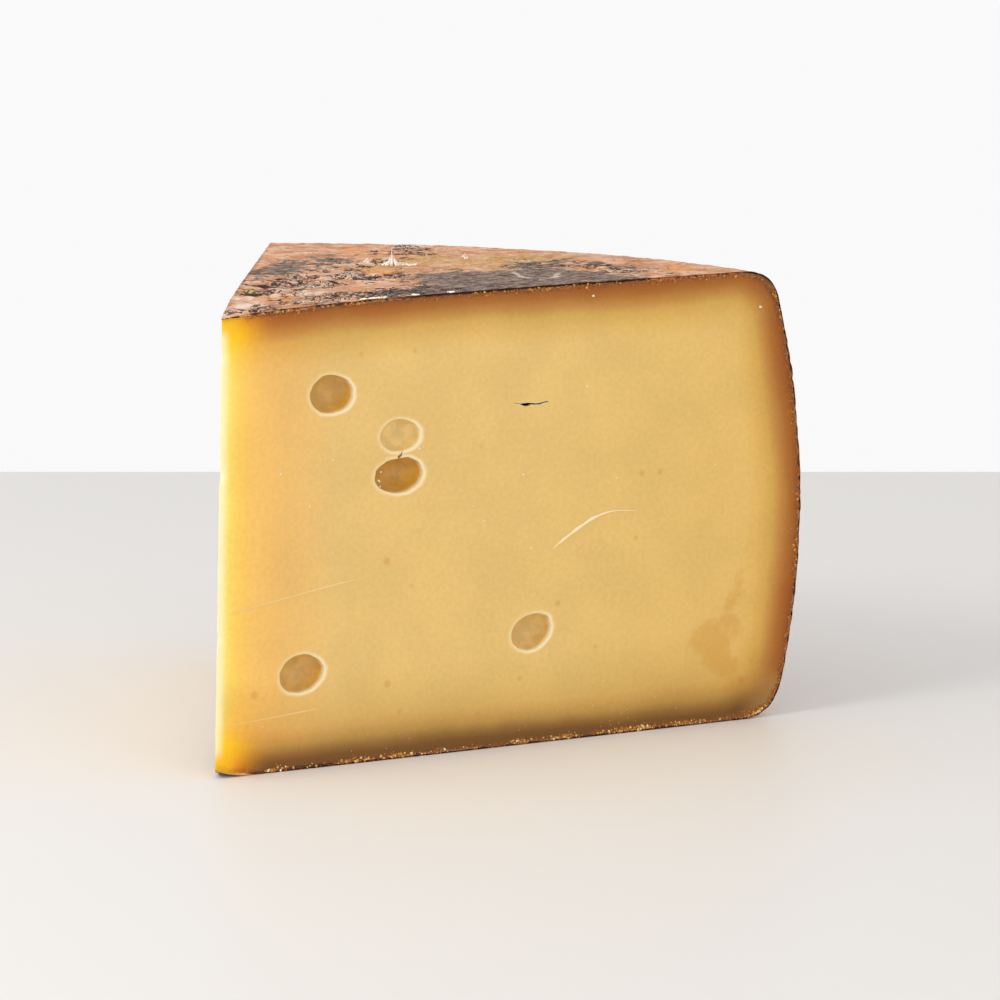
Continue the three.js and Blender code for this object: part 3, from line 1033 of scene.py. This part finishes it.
# How strong something is: low and high of its mark, and the two shares.
rindShares = {
    "gold": (-1.0, 3.5, 0, 0.75),
    "plate": (0.05, 0.3, 0, 0.5),
    "char": (-0.6, 1.6, 0, 0.95),
    "pale": (-0.2, 1.0, 0, 0.7),
    "squiggle": (0.09, 0.035, 0, 0.92),
    "squiggled": (-1.0, 1.5, 0, 1),
    "crease": (0.35, 0.68, 0, 0.95),
    "cutGap": (1.0, 0.2, 0, 0.9),
    "patchy": (0.2, 0.8, 0, 1),
    "cutGlow": (-0.1, -0.7, 0, 1),
}


def rindMaterial():
    # The plain colours first, and each mark laid over them by its share.
    material = newMaterial("smear-ripened washed rind")
    tree = material.node_tree
    add = partial(addNode, tree)
    pattern = addPatterns(tree, rindPatterns)
    keys = ("crease", "plate", "char", "gold", "creased", "pale", "cutGap", "cutEdge", "edgeDark")
    mark = {key: add("mark", attribute_name=key) for key in keys}

    colour = add("mix", pattern["pink"], rindLook["base"], rindLook["pink"])
    colour = add("mix", pattern["orange"], colour, rindLook["orange"])
    colour = add("mix", pattern["brown"], colour, rindLook["brown"])
    # Golden smear, its edge broken up by finer noise.
    gold = add("between", add("add", mark["gold"], pattern["broken"]), *rindShares["gold"])
    goldTone = add("mix", pattern["goldMottle"], rindLook["goldDeep"], rindLook["gold"])
    colour = add("mix", gold, colour, goldTone)
    # Pale scurf in spots, and the raised plates between creases paler.
    plate = add("between", mark["plate"], *rindShares["plate"])
    colour = add("mix", add("maximum", pattern["scurf"], plate), colour, rindLook["scurf"])
    # Charcoal mould with a fine brushed grain, and pale smear on it.
    char = add("between", add("add", mark["char"], pattern["broken"]), *rindShares["char"])
    charTone = add("mix", pattern["brushed"], rindLook["char"], rindLook["charPale"])
    colour = add("mix", char, colour, charTone)
    pale = add("between", add("add", mark["pale"], pattern["paleEdge"]), *rindShares["pale"])
    colour = add("mix", pale, colour, rindLook["scurf"])
    # Painted shade: the creases are near-black, with finer ones drawn in between.
    width = add("absolute", add("subtract", pattern["squiggle"], 0.5))
    area = add("add", mark["creased"], pattern["squiggleEdge"])
    drawn = add("between", width, *rindShares["squiggle"])
    fine = add("multiply", drawn, add("between", area, *rindShares["squiggled"]))
    creaseShade = add("maximum", fine, add("between", mark["crease"], *rindShares["crease"]))
    colour = add("mix", creaseShade, colour, rindLook["crease"])
    # The knife dragged the rind dark along both cuts; the cut edge is dark with amber grains.
    near = add("between", mark["cutGap"], *rindShares["cutGap"])
    colour = add("mix", add("multiply", near, mark["edgeDark"]), colour, rindLook["cut"])
    patchy = add("add", mark["edgeDark"], pattern["patchy"])
    patchy = add("between", patchy, *rindShares["patchy"])
    cutTone = add("mix", patchy, rindLook["cutAmber"], rindLook["cut"])
    # Painted glow: near the sharp edge the cut edge turns golden, for the light through the thin tip.
    golden = add("between", mark["edgeDark"], *rindShares["cutGlow"])
    cutTone = add("mix", golden, cutTone, rindLook["cutGlow"])
    colour = add("mix", mark["cutEdge"], colour, cutTone)

    height = add("subtract", pattern["pits"], fine)
    surface = {
        "Base Color": colour,
        "Roughness": pattern["matt"],
        "Normal": add("bump", height, rindLook["bumpStrength"], rindLook["bumpHeight"]),
        "IOR": 1.45,
        "Specular IOR Level": 0.15,
    }
    finishWith(material, surface)
    return material


# Crumbs that the knife pulled out of the rind's edge: dull amber, a few of them pale, and
# a little see-through.

crumbs = {
    "perCut": 2300,
    "linePoints": 6000,  # places along the edge where one can lie
    "bare": (90, 190),  # of these, left bare at the sharp edge's head and at its foot
    "smallest": 0.08,  # mm, radius
    "biggest": 0.36,
    "cluster": 5.0,  # mm between thick and thin places
    "underShare": 1.6,  # how many more there are along the underside
    "start": 0.35,  # how far in from the rind the first ones lie, mm
    "reach": 0.45,  # and how far in they scatter
    "strays": 0.04,  # share of them that landed further in
    "strayReach": (1, 8),
    "strayFrom": 1.5,
    "flatness": 0.6,
    "colours": [
        (0, "#6E360E"), (0.5, "#AE661E"), (0.78, "#DE9E40"), (0.94, "#F2CA7E"), (1, "#FBEAC4"),
    ],
}


def lumps(name, centres, sizes, normals, flatness, seed, tones=1.0):
    # Little stones: an icosahedron's corners pushed in and out at random, squashed to
    # flatness along the surface's normal.
    rng = np.random.default_rng(seed)
    golden = (1 + 5**0.5) / 2
    corners = [(0, s, t * golden) for s in (-1, 1) for t in (-1, 1)]
    corners = np.array([np.roll(c, k) for k in range(3) for c in corners]) / math.hypot(1, golden)
    gaps = np.linalg.norm(corners[:, None] - corners[None], axis=2)
    faces = []
    for face in combinations(range(len(corners)), 3):
        if max(gaps[a, b] for a, b in combinations(face, 2)) < 1.2:
            faces.append(face if np.linalg.det(corners[list(face)]) > 0 else face[::-1])
    spin = np.linalg.qr(rng.normal(size=(len(centres), 3, 3)))[0]
    spin = spin * np.sign(np.linalg.det(spin))[:, None, None]  # turned, never mirrored
    uneven = rng.uniform(0.65, 1.25, (len(centres), len(corners), 1))
    shape = np.einsum("kj,nij->nki", corners, spin) * uneven * sizes[:, None, None]
    along = (shape * normals[:, None]).sum(-1, keepdims=True)
    shape = shape - (1 - flatness) * along * normals[:, None]
    starts = np.arange(len(centres))[:, None, None] * len(corners)
    index = (starts + np.array(faces)).reshape(-1, 3)
    piece = newPiece(name, (centres[:, None] + shape).reshape(-1, 3), index)
    tones = np.repeat(np.broadcast_to(tones, len(centres)), len(corners))
    storeValues(piece.data, "tone", "POINT", tones)
    return piece


def makeCrumbs():
    # Along both cuts, thick and thin by a noise, at half a bell curve's distances from
    # the rind; those under the foot and the strays are paler.
    rng = np.random.default_rng(61)
    outline, _, foot = wheelOutline(0)
    line = evenly(outline, crumbs["linePoints"])
    outward = leftOf(line)
    footStart = np.argmin(np.linalg.norm(line - outline[foot], axis=1))
    order = np.arange(len(line))
    head, tail = crumbs["bare"]
    covered = (order > head) & (order < len(line) - tail)
    count, smallest = crumbs["perCut"], crumbs["smallest"]
    groups = []
    for share in (0, 1):
        at = np.stack([line[:, 0], 0 * line[:, 0], line[:, 1]], -1)
        often = np.clip(0.5 + softNoise(at, crumbs["cluster"], 63 + share), 0.1, 1) * covered
        often = often * np.where(order > footStart, crumbs["underShare"], 1)
        pick = rng.choice(len(line), count, p=often / often.sum())
        gap = crumbs["start"] + abs(rng.normal(0, crumbs["reach"], count))
        astray = rng.random(count) < crumbs["strays"]
        gap = np.where(astray, rng.uniform(*crumbs["strayReach"], count), gap)
        far = gap > crumbs["strayFrom"]
        x, z = (line[pick] - gap[:, None] * outward[pick]).T
        size = rng.uniform(0, 1, count) ** 3 * (crumbs["biggest"] - smallest) + smallest
        size = np.where(far, smallest, size)
        centres = onCut(np.maximum(x, tipOffset(z) + 0.6), z, share, -0.1 * size)
        tone = rng.beta(2.2, 2.2, count) * 0.9 + 0.22 * (pick > footStart) + 0.2 * far
        normals = np.tile(-faceInward(share), (count, 1))
        groups.append((centres, size, normals, np.clip(tone, 0, 1)))
    centres, sizes, normals, tones = map(np.concatenate, zip(*groups))
    return lumps("rind_crumbs", centres, sizes, normals, crumbs["flatness"], 62, tones)


def crumbMaterial():
    material = newMaterial("amber cheese crumbs")
    tree = material.node_tree
    tone = addNode(tree, "mark", attribute_name="tone")
    surface = {
        "Base Color": addNode(tree, "ramp", tone, stops=crumbs["colours"]),
        "Roughness": 0.5,
        "Specular IOR Level": 0.35,
        "Subsurface Weight": 0.2,
        "Subsurface Scale": 0.0006,
    }
    finishWith(material, surface)
    return material


# Tyrosine crystals and flecks of dry paste: off-white and dull.

crystals = {
    # Place on the first cut and radius.
    "places": [
        (13.0, 63.3, 0.42), (25.0, 65.5, 0.24), (19.5, 56.2, 0.22), (85.8, 77.4, 0.34),
        (70.1, 59.3, 0.3), (60.7, 49.9, 0.24), (58.0, 53.2, 0.2), (93.0, 57.0, 0.26),
        (118.0, 58.2, 0.24), (72.0, 43.2, 0.26), (87.2, 97.0, 0.36), (129.2, 92.5, 0.4),
        (45.2, 66.5, 0.3), (35.6, 60.4, 0.3), (36.2, 62.2, 0.24), (35.9, 59.0, 0.22),
    ],
    "mainSize": 0.8,  # each of these is two stones, at these shares of its radius
    "chipSize": 0.55,
    "chipAway": 0.22,  # mm
    "scattered": 46,  # more on each cut
    "size": 0.12,
    "span": [(3, 128), (6, 92)],
    "most": (1, 1.8),  # the biggest share of that size, on the first and the second cut
    "eyeRoom": 1.0,  # mm that they keep clear of an eye
    "flatness": 0.5,
    "finish": {
        "Base Color": "#F6E6C4",
        "Roughness": 0.5,
        "Subsurface Weight": 0.2,
        "Subsurface Scale": 0.0008,
    },
}


def makeCrystals():
    # The placed ones in pairs, and more strewn evenly over both cuts but for the eyes.
    rng = np.random.default_rng(71)
    named = np.array(crystals["places"])
    chips = rng.normal(0, crystals["chipAway"], named.shape) * (1, 1, 0)
    chips = named * (1, 1, crystals["chipSize"]) + chips
    placed = np.concatenate([named * (1, 1, crystals["mainSize"]), chips])
    groups = []
    for share, eyes in enumerate((frontEyes, rearEyes)):
        count = crystals["scattered"]
        x, z = [rng.uniform(*span, count) for span in crystals["span"]]
        size = crystals["size"] * rng.uniform(0.5, crystals["most"][share], count)
        rings = [(eye["x"], eye["z"], eye["width"] / 2 + crystals["eyeRoom"]) for eye in eyes]
        strewn = np.stack([x, z, size], 1)[pointGap(x, z, rings) > 0]
        spots = strewn if share else np.concatenate([placed, strewn])
        normals = np.tile(-faceInward(share), (len(spots), 1))
        groups.append((onCut(spots[:, 0], spots[:, 1], share), spots[:, 2], normals))
    centres, sizes, normals = map(np.concatenate, zip(*groups))
    return lumps("paste_crystals", centres, sizes, normals, crystals["flatness"], 72)


# What the knife raised and tore on the first cut. Widths are radii by share of the way.

scratch = {  # a curled sliver of paste, painted paler than the face it lies on as the highlight it catches
    "lines": [
        [(76.9, 42.3), (80.5, 44.7), (84.0, 46.8), (87.0, 48.4), (90.0, 49.4), (93.0, 49.8),
         (98.5, 49.3)],
    ],
    "width": [
        (0, 0), (0.1, 0.2), (0.16, 0.36), (0.24, 0.25), (0.32, 0.48), (0.4, 0.3), (0.5, 0.44),
        (0.56, 0.26), (0.64, 0.24), (0.75, 0.12), (0.95, 0.08), (1, 0),
    ],
    "shares": [1.0],  # each line's width as a share of that
    "flatness": 0.7,
    "steps": 48,
    "finish": {"Base Color": "#FBE4B6", "Roughness": 0.5, "Specular IOR Level": 0.3},
}
crack = {  # where the twin eyes nearly meet: in shade, so brown
    "lines": [[(40.1, 65.0), (40.9, 65.5), (41.2, 66.4)]],
    "width": [(0, 0), (0.06, 0.3), (0.4, 0.24), (1, 0)],
    "shares": [1.0],
    "flatness": 0.25,
    "steps": 16,
    "finish": {"Base Color": "#9A6026", "Roughness": 0.5, "Specular IOR Level": 0.3},
}
ridges = {  # two straight low ridges, a little paler than the paste
    "lines": [
        [(0.4, 34.7), (16.0, 37.4), (31.1, 39.9)],
        [(0.2, 11.1), (11.0, 11.9), (21.5, 12.8)],
    ],
    "width": [(0, 0), (0.05, 0.14), (0.3, 0.17), (0.6, 0.21), (0.82, 0.28), (0.95, 0.12), (1, 0)],
    "shares": [1.0, 0.55],
    "flatness": 0.3,
    "steps": 48,
    "finish": {"Base Color": "#F2CC84", "Roughness": 0.5, "Specular IOR Level": 0.3},
}
raisedLift = 0.02  # the rods' middles lie this far outside the cut, mm


def rods(name, paths, radii, normal, flatness=1.0, sides=7):
    # Thin rods along paths (rod, step, xyz), as wide as radii (rod, step) and closed to a
    # point at both ends; flatness squashes them towards the surface with this normal.
    ahead = np.gradient(paths, axis=1)
    ahead = ahead / np.linalg.norm(ahead, axis=2, keepdims=True)
    aside = np.cross(ahead, normal)
    aside = aside / np.linalg.norm(aside, axis=2, keepdims=True)
    lift = np.cross(aside, ahead)
    turn = np.linspace(0, 2 * math.pi, sides + 1)[:, None]
    around = np.cos(turn) * aside[:, :, None] + flatness * np.sin(turn) * lift[:, :, None]
    at = paths[:, :, None] + radii[:, :, None, None] * around
    return buildMesh(name, [{"at": rod} for rod in at], math.radians(80))


def raised(name, look):
    # Rods along lines on the first cut, each smoothed by (before + 2 * point + after) / 4.
    paths = []
    for line in look["lines"]:
        line = evenly(np.array(line, float), look["steps"])
        for _ in range(3):
            line[1:-1] = (line[:-2] + 2 * line[1:-1] + line[2:]) / 4
        paths.append(onCut(line[:, 0], line[:, 1], 0, -raisedLift))
    width = np.interp(np.linspace(0, 1, look["steps"] + 1), *zip(*look["width"]))
    radii = np.array(look["shares"])[:, None] * width
    return rods(name, np.stack(paths), radii, -faceInward(0), look["flatness"])


# White mould and dried salt on the top: chalky, matt, a little warm.

bloom = {
    "start": (63.8, 54.8),  # the tuft's row of spikes runs between these places
    "end": (69.7, 50.9),
    "peak": 0.24,  # where along the row its tallest spike stands
    "slope": 0.5,  # height in mm of the heap away from there
    "crest": 2.3,  # and what it gains there
    "crestSpan": 0.17,
    "spikes": 90,
    "atPeak": 0.6,  # share of the spikes that crowd round the peak
    "sunk": 0.2,  # their feet lie this far inside the rind
    "steps": 9,  # points along a spike
    "tallest": 4.4,
    "stones": 90,
    "others": [(85.6, 57.3), (63.4, 62.5)],  # small tufts of a few stones
    "otherStones": 14,
    "flecks": [(32.0, 38.0, 0.5, 44), (44.3, 45.8, 0.3, 16), (52.4, 54.0, 0.2, 8)],  # from, to, in, count
    "flatness": 0.75,
    "finish": {"Base Color": "#FFF9EC", "Roughness": 0.9, "Specular IOR Level": 0.1},
}


def heap(share):
    # Height of the tuft's heap along its row: a bell on a low slope.
    bell = np.exp(-(((share - bloom["peak"]) / bloom["crestSpan"]) ** 2))
    return bloom["slope"] + bloom["crest"] * bell


def onTopFace(places, lift):
    # Points lift mm above the top at places (point, xy) from the wheel's axis.
    return np.column_stack([places, topHeight(np.hypot(*places.T)) + lift])


def makeBloom():
    # Spikes rise along t and lean out along t^1.5, towards the peak when they stand near
    # it, with the tallest one upright; stones heap at their feet; and flecks lie along the
    # top's front edge.
    rng = np.random.default_rng(81)
    count = bloom["spikes"]
    start, end = np.array(bloom["start"]), np.array(bloom["end"])
    peak = start + bloom["peak"] * (end - start)
    crowd = rng.random(count) < bloom["atPeak"]
    share = np.where(crowd, rng.normal(bloom["peak"], 0.16, count), rng.uniform(0, 1, count))
    foot = start + np.clip(share, 0, 1)[:, None] * (end - start) + rng.normal(0, 0.5, (count, 2))
    tall = heap(share) * rng.uniform(0.45, 1.05, count)
    tall[0], foot[0] = bloom["tallest"], peak
    lean = rng.normal(0, 0.3, (count, 2)) * tall[:, None] ** 0.5
    nearPeak = abs(share - bloom["peak"])[:, None] < 0.3
    lean = np.where(nearPeak, 0.75 * (peak - foot) + 0.3 * lean, lean)
    lean[0] = (0.1, 0.1)
    along = np.linspace(0, 1, bloom["steps"])
    t = along[None, :, None]
    out = np.column_stack([lean, tall + bloom["sunk"]])[:, None]
    paths = onTopFace(foot, -bloom["sunk"])[:, None] + out * np.concatenate([t**1.5, t**1.5, t], 2)
    radii = np.sin(math.pi * along**0.35)[None] * rng.uniform(0.1, 0.2, (count, 1))
    tuft = rods("mould_tuft", paths, radii, np.array([0.3, 1.0, 0.05]))

    share = rng.uniform(0, 1, bloom["stones"]) ** 1.2
    foot = start + share[:, None] * (end - start) + rng.normal(0, 0.6, (len(share), 2))
    lift = rng.uniform(0, 0.5, len(share)) * heap(share)
    groups = [(onTopFace(foot, lift), rng.uniform(0.12, 0.3, len(share)))]
    for middle in bloom["others"]:
        count = bloom["otherStones"]
        away = rng.normal(0, 0.5, (count, 2))
        lift = 1.3 * np.exp(-(away**2).sum(1) / 0.3) * rng.uniform(0, 1, count)
        groups.append((onTopFace(middle + away, lift), rng.uniform(0.14, 0.3, count)))
    for low, high, inward, count in bloom["flecks"]:
        x, y = rng.uniform(low, high, count), inward + abs(rng.normal(0, 0.5, count))
        groups.append((onTopFace(np.stack([x, y], 1), 0.08), rng.uniform(0.14, 0.36, count)))
    places, sizes = map(np.concatenate, zip(*groups))
    normals = np.tile(np.array([0, 0, 1.0]), (len(sizes), 1))
    return tuft, lumps("mould_flecks", places, sizes, normals, bloom["flatness"], 82)


# Camera, table and light.

camera = {
    "lens": 144.0,
    "sensor": 36.0,
    "clip": (0.05, 30),  # metres
    "back": 817.3,  # mm from the sharp edge, along the level of the view
    "aside": 57.1,  # mm to the right of the sharp edge
    "height": 187.8,
    "turn": math.radians(27.65),
    "tilt": math.radians(8.965),
}
studio = {
    "tableFront": 3000.0,  # mm it reaches towards the camera
    "tableBack": 430.0,
    "tableSide": 3000.0,
    "table": {"Base Color": "#EAE7E4", "Roughness": 0.5, "Specular IOR Level": 0.3},
    "sky": 0.74,  # brightness of the room overhead
    "wall": 0.95,  # and of its walls
    "wallToSky": (0.1, 0.6),  # the view's rise at which one turns into the other
    "lamps": [
        # name, direction it stands in, distance, size, power
        ("window", (-0.74, -0.19, 0.64), 0.9, 0.3, 2.0),
        ("left sky", (-0.95, 0.25, 0.45), 1.1, 0.9, 2.4),
        ("front", (0.05, -1.0, 0.14), 1.7, 1.2, 5.2),
    ],
}
viewAhead = np.array([math.sin(camera["turn"]), math.cos(camera["turn"]), 0])
viewRight = np.array([viewAhead[1], -viewAhead[0], 0])


def makeCamera():
    data = bpy.data.cameras.new("camera")
    data.lens, data.sensor_width = camera["lens"], camera["sensor"]
    data.clip_start, data.clip_end = camera["clip"]
    place = axisPlace + camera["aside"] * viewRight - camera["back"] * viewAhead
    made = bpy.data.objects.new("camera", data)
    made.location = (place[0] / 1000, place[1] / 1000, camera["height"] / 1000)
    made.rotation_euler = (math.pi / 2 - camera["tilt"], 0, -camera["turn"])
    bpy.context.scene.collection.objects.link(made)
    bpy.context.scene.camera = made


def makeStudio():
    # A matt white table, and a white room whose wall, low all round, is brighter than what
    # is overhead.
    back, front = studio["tableBack"] * viewAhead, -studio["tableFront"] * viewAhead
    side = studio["tableSide"] * viewRight
    corners = np.array([front - side, front + side, back + side, back - side])
    table = newPiece("table", corners, np.array([[0, 1, 2, 3]]))
    table.data.materials.append(plainMaterial("matt white table", studio["table"]))
    world = bpy.data.worlds.new("studio")
    world.use_nodes = True
    world.node_tree.nodes.clear()
    add = partial(addNode, world.node_tree)
    level = add("level", add("direction"))
    strength = add("between", level, *studio["wallToSky"], studio["wall"], studio["sky"])
    add("worldOut", add("light", "#FFFFFF", strength))
    scene = bpy.context.scene
    scene.world = world
    for name, towards, distance, size, power in studio["lamps"]:
        lamp = bpy.data.lights.new(name, "AREA")
        lamp.size, lamp.energy = size, power
        made = bpy.data.objects.new(name, lamp)
        made.location = Vector(towards).normalized() * distance
        made.rotation_euler = made.location.to_track_quat("Z", "Y").to_euler()
        scene.collection.objects.link(made)
    scene.view_settings.view_transform = "Standard"


makeCamera()
makeStudio()
print("camera and studio made")

pastePiece = makePaste()
pastePiece.data.materials.append(pasteMaterial())
print("paste made")

rindPiece = makeRind()
rindPiece.data.materials.append(rindMaterial())
print("rind made")

crumbPiece = makeCrumbs()
crumbPiece.data.materials.append(crumbMaterial())
crystalPiece = makeCrystals()
crystalPiece.data.materials.append(plainMaterial("white cheese crystals", crystals["finish"]))
sliverPiece = raised("knife_sliver", scratch)
crackPiece = raised("eye_crack", crack)
ridgePiece = raised("knife_ridges", ridges)
sliverPiece.data.materials.append(plainMaterial("raised sliver of paste", scratch["finish"]))
ridgePiece.data.materials.append(plainMaterial("knife ridge in the paste", ridges["finish"]))
crackPiece.data.materials.append(plainMaterial("shaded crack in the paste", crack["finish"]))
tuftPiece, fleckPiece = makeBloom()
mouldWhite = plainMaterial("chalky white mould", bloom["finish"])
tuftPiece.data.materials.append(mouldWhite)
fleckPiece.data.materials.append(mouldWhite)
print("crumbs, crystals, slivers and mould made")

bigPieces = (pastePiece, rindPiece)
smallPieces = (crumbPiece, crystalPiece, sliverPiece, ridgePiece, crackPiece, tuftPiece, fleckPiece)
for piece in (*bigPieces, *smallPieces):
    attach(piece, "root")
    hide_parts("cheese_wedge")
